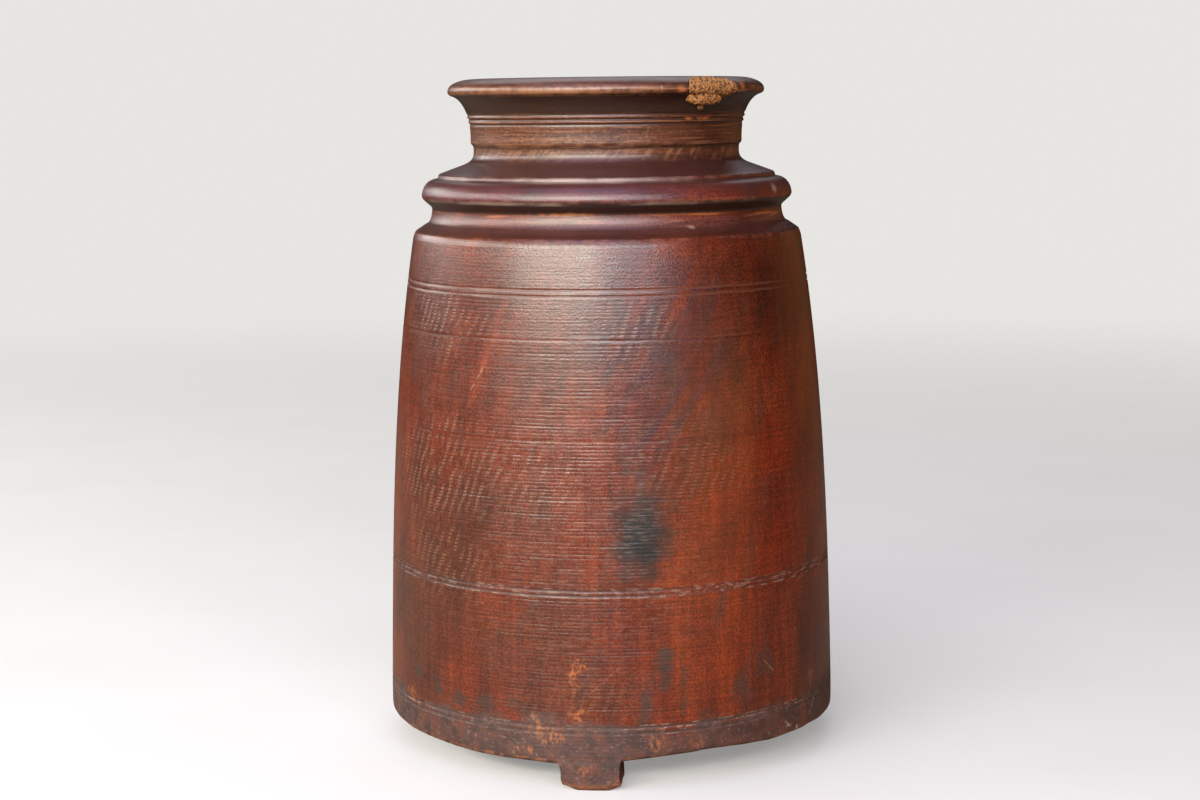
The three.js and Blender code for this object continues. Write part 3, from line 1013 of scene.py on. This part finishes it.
def streak(across, along, low, high, lean=0.0, detail=3.0, shift=0.0):
    """A mask of streaks, by how many go to a metre across and along."""
    given = {"Across": across, "Along": along, "Low": low, "High": high}
    return place_group(streaks, {**given, "Lean": lean, "Detail": detail, "Shift": shift})


def belt(low, high, soft=0.002, waver=0.001):
    """A mask of all that lies between two heights, in metres."""
    return place_group(band, {"Low": low, "High": high, "Soft": soft, "Waver": waver})


def spot(place, size, **given):
    """A patch mask at a place, with its half sizes, in metres."""
    return place_group(patch, {"Place": place, "Size": size, **given})


def line(start, end, width, gaps):
    """A mask of one scratch from a place to another."""
    return place_group(scratch, {"From": start, "To": end, "Width": width, "Gaps": gaps})


def tint(share, mask, shade):
    """The colour so far with a shade laid over it, by a mask and a share."""
    return mixed(both(mask, share), colour, shade)


def shaded(share, mask):
    """The colour so far times something between 1 - share and 1 + share, by a mask."""
    return mixed(1.0, colour, spread(mask, 0.0, 1.0, 1 - share, 1 + share), "MULTIPLY")


def at(bearing, height, radius=None):
    """A place in metres, from degrees and millimetres, on the wall if no radius is given."""
    return (facing_out(bearing) * (radius or wall_radius(height)) + Vector((0, 0, height))) * MM


def blot(bearing, height, half_width, half_height, radius=None, **given):
    """A patch mask by its bearing in degrees and its measures in millimetres."""
    size = (half_width * MM, half_width * MM, half_height * MM)
    return spot(at(bearing, height, radius), size, **given)


wood, tree, shader = new_material("turned_wood")
place = node("SeparateXYZ", {0: own_place()}).outputs
height = place["Z"]
flame = streak(58.0, 10.0, 0.32, 0.68, lean=-4.6, detail=4.0)
upright = streak(60.0, 11.0, 0.26, 0.76, lean=0.5, detail=5.0, shift=4.0)
figure = node("Mix", {0: spread(height, 0.25, 0.31), 2: upright, 3: flame}).outputs[0]
colour = mixed(figure, RED, ORANGE)

# %% Browner, darker and redder sides; the darker right side is painted shade
BROAD = (
    (-146, 345, 85, 75, BROWN, 0.60),
    (-105, 310, 75, 95, BROWN, 0.50),
    (-130, 200, 75, 75, BROWN, 0.80),
    (-72, 270, 45, 90, DEEP_RED_AND_SHADE, 0.45),
    (-38, 350, 75, 75, DEEP_RED_AND_SHADE, 0.92),
    (-56, 245, 45, 48, DEEP_RED_AND_SHADE, 0.40),
    (-50, 180, 62, 95, GLOW, 0.88),
    (-55, 90, 50, 45, GLOW, 0.35),
    (-20, 60, 60, 60, BROWN, 0.60),
    (-92, 375, 80, 34, DEEP_RED_AND_SHADE, 0.60),
    (-145, 110, 85, 85, BROWN, 0.85),
    (-110, 85, 75, 60, BROWN, 0.50),
)
# The deep red blots on the right side, bearings -72 to -38, are painted shade on the side turned
# away from the lamps; the one at the front just below the shoulder is a deep red tone.
for *where, shade, share in BROAD:
    colour = tint(share, blot(*where, Ragged=0.7, Grain=16.0, Core=0.15), shade)
mouldings = spread(height, 0.386, 0.391)
neck_zone = spread(height, 0.438, 0.444)
# The purple tint over the flange, fillet and slope is painted sheen: the purple-blue of cool light
# reflected there.
colour = tint(0.80, belt(0.410, 0.440, 0.004, 0.003), PURPLE_SHEEN)
red_end = spot((0.105, -0.100, 0.418), (0.085, 0.085, 0.03), Ragged=0.6, Core=0.3)
colour = tint(0.80, red_end, RED_END)
# The dark band on the upward-facing slope below the neck is painted shade.
colour = tint(0.65, belt(0.4300, 0.4395), DEEP)
# The lighter pink-red band on the ledge is painted sheen.
colour = tint(0.60, belt(0.3915, 0.400), LEDGE_SHEEN)
colour = tint(0.70, neck_zone, NECK_BROWN)

# %% Dark figure
dark = streak(30.0, 14.0, 0.44, 0.76, lean=-1.8, detail=1.5, shift=11.0)
colour = tint(0.50, dark, DEEP)
colour = tint(0.35, streak(60.0, 20.0, 0.54, 0.78, lean=-2.0, detail=1.0, shift=17.0), ASH)
FLAMES = (
    (-55.5, 288, 15, 38, DEEP, 0.80),
    (-44, 330, 12, 30, DEEP, 0.60),
    (-60, 250, 12, 30, DEEP, 0.45),
    (-86, 334, 10, 26, ASH, 0.50),
    (-79, 330, 8, 26, ASH, 0.50),
    (-74, 286, 9, 32, ASH, 0.40),
)
bands = streak(66.0, 6.0, 0.42, 0.60, lean=-4.8, detail=1.5, shift=25.0)
banded = both(bands, blot(-76, 305, 72, 75, Ragged=0.8, Grain=30.0, Core=0.45))
colour = tint(0.62, banded, FLAME_SHADOW)
for *where, shade, share in FLAMES:
    colour = tint(share, blot(*where, Ragged=1.2, Grain=50.0, Core=0.2), shade)

# %% Fine grain, turning lines and pores
speckle = streak(760.0, 560.0, 0.32, 0.68, shift=21.0)
threads = streak(230.0, 16.0, 0.32, 0.68, detail=4.0, shift=2.0)
turning_lines = streak(22.0, 700.0, 0.34, 0.66, shift=41.0)
wisps = streak(26.0, 300.0, 0.36, 0.64, detail=5.0, shift=61.0)
pores = streak(700.0, 90.0, 0.62, 0.80, detail=1.0, shift=3.0)
upright_grain = node("Mix", {0: mouldings, 2: threads, 3: wisps}).outputs[0]
colour = shaded(0.30, speckle)
colour = shaded(0.15, upright_grain)
colour = shaded(0.13, turning_lines)
colour = tint(0.22, pores, SOOT)
tan_specks = streak(300.0, 520.0, 0.52, 0.68, detail=4.0, shift=71.0)
colour = tint(0.50, both(tan_specks, neck_zone), TAN)
# A dark patch on the right of the neck, below the lip, is painted shade.
shaded_neck_side = spot((0.078, -0.078, 0.476), (0.075, 0.075, 0.05), Ragged=0.5, Core=0.3)
colour = tint(0.75, shaded_neck_side, DEEP)
turned_streaks = streak(14.0, 900.0, 0.44, 0.62, detail=4.0, shift=91.0)
colour = tint(0.60, both(turned_streaks, neck_zone), DEEP)
pale_streaks = streak(20.0, 640.0, 0.56, 0.68, detail=5.0, shift=95.0)
colour = tint(0.60, both(pale_streaks, neck_zone), TAN)
plane_marks = streak(190.0, 60.0, 0.50, 0.58, lean=-8.0, detail=2.0, shift=35.0)
colour = tint(0.45, both(belt(0.4410, 0.4480, waver=0.002), plane_marks), TAN)

# %% Valleys of the ridges
cut_mark = mark_of("cut")
ring_mark = mark_of("ring")
valley_mark = mark_of("valley")
plain_wall = maths("SUBTRACT", 1.0, ring_mark)
dashes = streak(150.0, 330.0, 0.34, 0.58, shift=6.0)
# The ridge valleys are darkened in broken dashes, partly as dirt and partly as painted shade.
valley = both(spread(cut_mark, 0.01, 0.15), plain_wall)
valley_dirt_and_shade = both(valley, spread(dashes, 0.0, 1.0, 0.25, 1.0))
colour = tint(0.75, valley_dirt_and_shade, VALLEY_DIRT_AND_SHADE)
# Pale dashes on the ridge crests across the front are painted highlights.
pale_dashes = streak(120.0, 380.0, 0.50, 0.66, detail=2.0, shift=81.0)
ridged = blot(-98, 190, 100, 150, Ragged=0.4, Grain=18.0, Core=0.5)
crest = both(spread(valley_mark, 0.4, 0.1), pale_dashes)
colour = tint(0.26, both(crest, ridged), CREST_HIGHLIGHT)

# %% Chatter: rows of short strokes where the gouge shook, their crests with painted highlights
CHATTER = (
    (-144, 222, 90, 46, 1.0),
    (-148, 326, 75, 30, 0.8),
    (-112, 222, 60, 28, 0.45),
    (-68, 232, 52, 34, 0.6),
    (-82, 330, 40, 34, 0.7),
    (-136, 158, 55, 34, 0.8),
    (-98, 62, 60, 20, 0.35),
)
SHAKES = 128
SHAKE_LEAN = 2.6
SHAKE_DRIFT = 3.5

shaken = []
for *where, share in CHATTER:
    shaken.append(both(blot(*where, Ragged=0.6, Grain=40.0, Core=0.35), share))
turn = maths("MULTIPLY_ADD", height, -SHAKE_LEAN, maths("ARCTAN2", place["Y"], place["X"]))
drift = both(streak(30.0, 26.0, 0.30, 0.70, detail=2.0, shift=55.0), SHAKE_DRIFT)
wave = maths("SINE", maths("MULTIPLY_ADD", turn, SHAKES, drift))
broken = streak(90.0, 95.0, 0.36, 0.54, lean=-2.4, shift=51.0)
columns = both(spread(wave, -0.1, 0.8), broken)
strokes = both(both(columns, any_of(shaken)), plain_wall)
stroke_highlight = both(strokes, spread(valley_mark, 0.45, 0.15))
stroke_valley = both(strokes, spread(valley_mark, 0.35, 0.8))
# Stroke crests get painted highlights; the valleys between them are darkened, partly as dirt and
# partly as painted shade.
colour = tint(0.45, stroke_highlight, CREST_HIGHLIGHT)
colour = tint(0.80, stroke_valley, VALLEY_DIRT_AND_SHADE)

# %% Cut rings
low_down = spread(height, 0.20, 0.10)
ring_valley = both(ring_mark, spread(cut_mark, 0.08, 0.40))
# Ring valleys, and the low rings as a whole, are darkened, partly as dirt and partly as painted
# shade.
ring_dirt_and_shade = both(ring_valley, spread(low_down, 0.0, 1.0, 0.65, 0.95))
colour = tint(1.0, ring_dirt_and_shade, VALLEY_DIRT_AND_SHADE)
low_ring = both(ring_mark, low_down)
colour = tint(0.55, low_ring, VALLEY_DIRT_AND_SHADE)
# Pale broken dashes on the ring lips low down are partly chips and partly painted highlights.
ring_lip = both(ring_mark, spread(cut_mark, 0.30, 0.05))
chips_and_glints = both(ring_lip, streak(150.0, 330.0, 0.52, 0.58, shift=15.0))
colour = tint(0.60, both(chips_and_glints, low_down), CHALK)
colour = tint(0.12, both(ring_valley, spread(height, 0.330, 0.345)), RAW)

# %% Dirt and painted shade in grooves and on upward faces, painted shade under ledges
# Inside corners of the profile and upward-facing surfaces are darkened, partly as dirt and partly as
# painted shade.
colour = tint(0.75, mark_of("groove"), SOOT)
colour = tint(0.75, mark_of("upward"), UPWARD_DIRT_AND_SHADE)
# The dark bands under the flange, under the lip and at the ledge are painted shade.
UNDERCUTS = ((0.4050, 0.4115, 0.95), (0.475, 0.487, 0.92), (0.3890, 0.3915, 0.30))
painted_undercut_shade = any_of([both(belt(low, high), share) for low, high, share in UNDERCUTS])
colour = tint(1.0, painted_undercut_shade, UNDERCUT_SHADE)

# %% Rubbed edges, and painted highlights on some arrises
edge = mark_of("edge")
knocks = streak(110.0, 150.0, 0.42, 0.60, detail=5.0, shift=1.0)
edge_share = spread(height, 0.404, 0.416, 0.25, 0.18)
rubbed = both(both(spread(edge, 0.2, 0.8), knocks), edge_share)
colour = tint(1.0, rubbed, TAN)
LINES = (
    (0.3985, 0.4030, 0.70, RAW, 0.54, 30.0, 420.0, 0.30),
    (0.4262, 0.4290, 0.50, CHALK, 0.36, 18.0, 60.0, 0.12),
    (0.4868, 0.4905, 0.62, TAN, 0.34, 60.0, 200.0, 0.075),
    (0.4505, 0.4525, 0.55, TAN, 0.40, 60.0, 200.0, 0.14),
    (0.4868, 0.4925, 0.50, TAN, 0.44, 240.0, 90.0, 0.12),
    (0.4108, 0.4120, 0.45, CHALK, 0.34, 20.0, 60.0, 0.15),
)
# The rows from 0.4108, 0.4262 and 0.4868 up are painted highlights on the flange's lower arris, the
# fillet and the lip's roll; the rows from 0.3985 and 0.4505 are worn edges.
for low, high, share, shade, gaps, across, along, reach in LINES:
    worn = streak(across, along, gaps, gaps + 0.16, detail=4.0, shift=low * 50)
    side = spot((-0.045, -0.14, low), (reach, reach, reach), Ragged=0.4, Core=0.3)
    zone = both(belt(low, high, soft=0.001), side)
    colour = tint(share, both(zone, worn), shade)

# %% Dull foot zone
foot_zone = belt(-0.01, 0.041, 0.012, 0.022)
colour = tint(0.74, foot_zone, DULL)
smudge = streak(110.0, 130.0, 0.42, 0.62, detail=7.0, shift=13.0)
colour = tint(0.60, both(foot_zone, smudge), SMUDGE)
rust = streak(90.0, 60.0, 0.52, 0.66, detail=6.0, shift=16.0)
colour = tint(0.40, both(foot_zone, rust), RUST)
lint = streak(360.0, 520.0, 0.58, 0.70, detail=5.0, shift=14.0)
colour = tint(0.28, both(foot_zone, lint), CHALK)
raw_edges = both(spread(edge, 0.1, 0.5), spread(height, 0.029, 0.021))
gnawed = both(raw_edges, streak(130.0, 130.0, 0.42, 0.60, detail=6.0, shift=9.0))
colour = tint(0.62, gnawed, WORN_EDGE)
trodden = streak(120.0, 120.0, 0.38, 0.56, detail=6.0, shift=19.0)
colour = tint(0.60, both(spread(height, 0.007, 0.001), trodden), WORN_EDGE)

# %% Stains
STAINS = (
    (-82.2, 184, 30, 48, 0.7, 0.35, ASH),
    (-82.0, 180.5, 25, 37, 0.30, 0.97, SLATE),
    (-82.5, 214, 11, 38, 0.8, 0.50, ASH),
    (-77.5, 91, 6.5, 18, 1.2, 0.75, ASH),
    (-82.2, 62, 6.5, 16, 1.2, 0.65, ASH),
    (-147.5, 69, 6, 7, 1.2, 0.60, ASH),
    (-138.8, 63, 7, 10, 1.2, 0.65, ASH),
    (-131, 58.5, 8, 8, 1.2, 0.60, ASH),
    (-122.2, 58, 10, 9, 1.2, 0.60, ASH),
    (-113, 57, 9, 8, 1.2, 0.35, ASH),
    (-72.5, 78, 4, 22, 1.4, 0.45, ASH),
    (-68, 52, 7, 7, 1.4, 0.40, ASH),
    (-50, 84, 11, 15, 1.4, 0.45, ASH),
    (-57, 65, 9, 12, 1.4, 0.40, ASH),
    (-91, 317.5, 2.2, 3.0, 0.8, 0.90, SLATE),
)
stains = []
for *where, ragged, share, shade in STAINS:
    stains.append(blot(*where, Ragged=ragged, Core=0.25))
    colour = tint(share, stains[-1], shade)
# Pale lines on the ridge crests inside the stains are painted highlights.
colour = tint(0.16, both(both(any_of(stains), crest), ridged), CHALK)

# %% Raw wood at knocks and scratches
SCUFFS = (
    (-98.5, 87, 8, 8, 0.75), (-99.5, 78, 4, 8, 0.5), (-98.5, 56, 7, 6, 0.65),
    (-108.5, 44, 7, 10, 0.60), (-104, 38, 9, 6, 0.60), (-79.5, 33.5, 8, 8, 0.55),
    (-69, 30.5, 8, 5, 0.45), (-113, 29, 12, 4, 0.6), (-88, 10, 11, 7, 0.45),
    (-97, 14, 8, 7, 0.45), (-30, 62, 10, 8, 0.35), (-150, 50, 12, 6, 0.4),
)
splinters = streak(430.0, 300.0, 0.40, 0.62, detail=6.0, shift=31.0)
for *where, share in SCUFFS:
    scuff = blot(*where, Ragged=1.6, Grain=150.0, Core=0.0)
    colour = tint(share, both(scuff, splinters), RAW)
SCRATCHES = (
    ((-118.5, 342), (-124.5, 298), 0.0045, 1.0, EMBER, 0.34),
    ((-124.0, 300), (-128.5, 270), 0.0050, 1.0, EMBER, 0.34),
    ((-124.5, 297), (-126.5, 288), 0.0009, 0.4, CHALK, 0.32),
    ((-126.0, 291), (-128.0, 281), 0.0009, 0.4, CHALK, 0.28),
    ((-28.0, 43), (-31.0, 32), 0.0010, 0.2, CHALK, 0.50),
    ((-38.5, 139), (-31.0, 143), 0.0009, 0.2, TAN, 0.60),
    ((-36.5, 135), (-32.0, 138), 0.0009, 0.2, TAN, 0.50),
    ((-42.0, 33), (-40.5, 30), 0.0022, 0.6, CHALK, 0.80),
    ((-50.0, 84), (-46.5, 74), 0.0008, 0.2, TAN, 0.45),
    ((-95.0, 72), (-88.0, 90), 0.0008, 0.3, TAN, 0.35),
)
for start, end, width, gaps, shade, share in SCRATCHES:
    colour = tint(share, line(at(*start), at(*end), width, gaps), shade)

# %% Knocks on the mouldings
KNOCKS = (
    (-55.2, 470.0, 6.0, 1.8, 107, RAW, 0.85),
    (-47.0, 470.3, 7.5, 1.8, 107, RAW, 0.90),
    (-63.5, 490.5, 4.5, 3.5, 119, RAW, 0.75),
    (-33.5, 493.0, 4.5, 4.5, 119, RAW, 0.75),
    (-28.5, 419.5, 7.0, 4.0, 139, CHALK, 0.55),
    (-64.0, 393.5, 4.0, 2.0, 132, CHALK, 0.60),
    (-102, 404.0, 30, 1.6, 138, RAW, 0.45),
    (-37.2, 25.5, 2.0, 3.0, 169, CHALK, 0.85),
)
for *where, shade, share in KNOCKS:
    colour = tint(share, blot(*where, Ragged=1.0, Grain=160.0, Core=0.2), shade)
lip_scratch = line(at(-70.8, 491.5, 119), at(-71.2, 498, 118.5), 0.0009, 0.2)
colour = tint(0.6, lip_scratch, CHALK)

# %% Gloss and fine relief of the wood
inside = mark_of("inside")
colour = tint(0.75, inside, SOOT)
ROUGHER = (
    (speckle, 0.03),
    (valley_dirt_and_shade, 0.12),
    (ring_valley, 0.12),
    (low_ring, 0.25),
    (foot_zone, 0.20),
    (inside, 0.3),
    (mouldings, 0.06),
)
rub = streak(40.0, 60.0, 0.3, 0.7, detail=5.0, shift=8.0)
gloss = spread(rub, 0.0, 1.0, 0.282, 0.325)
for mask, rougher in ROUGHER:
    gloss = maths("MULTIPLY_ADD", mask, rougher, gloss)
relief = maths("MULTIPLY_ADD", speckle, 0.5, both(pores, -0.3))
relief = maths("MULTIPLY_ADD", turning_lines, 0.25, relief)
relief = maths("MULTIPLY_ADD", strokes, both(valley_mark, -1.4), relief)
relief = maths("MULTIPLY_ADD", dashes, both(valley, -0.8), relief)
bump = node("Bump", {"Height": relief, "Strength": 0.22, "Distance": 0.0004}).outputs["Normal"]
fill(shader, {"Base Color": colour, "Roughness": gloss, "Normal": bump, "IOR": 1.55})
pot.data.materials.clear()
pot.data.materials.append(wood)
print("wood nodes:", len(tree.nodes))

# %% [markdown]
# ## Filler finish
# The paste is dry and dull: ochre grains, paler where it is rubbed, with dark pits where grains
# have fallen out.

# %% Filler material
OCHRE = (0.22, 0.086, 0.019, 1)
SAND = (0.38, 0.185, 0.056, 1)
PIT = (0.07, 0.028, 0.012, 1)

paste_look, tree, shader = new_material("filler")
grains = streak(700.0, 700.0, 0.40, 0.66)
pits = streak(420.0, 420.0, 0.54, 0.66, detail=2.0, shift=5.0)
colour = mixed(pits, mixed(grains, OCHRE, SAND), PIT)
relief = maths("SUBTRACT", grains, pits)
bump = node("Bump", {"Height": relief, "Strength": 0.8, "Distance": 0.0006}).outputs["Normal"]
fill(shader, {"Base Color": colour, "Roughness": 0.9, "Normal": bump})
filler.data.materials.append(paste_look)

# %% [markdown]
# ## Floor
# The floor is stage, not part of the pot. It is smooth and pale, mottled a little so it isn't one
# flat tone, and its outer part turns clear so the world shows through.

# %% Floor
FLOOR_RADIUS = 9.0
FLOOR_TONES = ((0.42, 0.415, 0.405, 1), (0.44, 0.435, 0.425, 1))
BOUNCED_TONE = (0.20, 0.15, 0.10, 1)
FLOOR_GLOW = (0.275, 0.272, 0.265, 1)
FADE_FROM, FADE_TO = 0.7, 3.6

ground = bmesh.new()
bmesh.ops.create_circle(ground, cap_ends=True, segments=96, radius=FLOOR_RADIUS)
floor = finished("floor", ground)
pale, tree, shader = new_material("pale_floor")
mottle = streak(5.0, 5.0, 0.3, 0.7, detail=5.0)
seen = node("LightPath").outputs["Is Camera Ray"]
distance = vectors("LENGTH", own_place())["Value"]
floor_look = {
    "Base Color": mixed(seen, BOUNCED_TONE, mixed(mottle, *FLOOR_TONES)),
    "Alpha": spread(distance, FADE_FROM, FADE_TO, 1.0, 0.0),
    "Emission Color": mixed(seen, (0, 0, 0, 1), FLOOR_GLOW),
    "Emission Strength": 1.0,
    "Roughness": 0.8,
}
fill(shader, floor_look)
floor.data.materials.append(pale)
floor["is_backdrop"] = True

# %% [markdown]
# ## Fasten the pieces to the part
# Each piece rides on the part's one body and stands in for the plain solid of the same thing. The
# last line measures the box round all that is shown, the floor left out.

# %% Ride and replace
for piece, solid, slot in ((pot, "pot_body", "turned_wood"), (filler, "rim_repair", "filler")):
    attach(piece, "root")
    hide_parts(solid)

low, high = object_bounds()
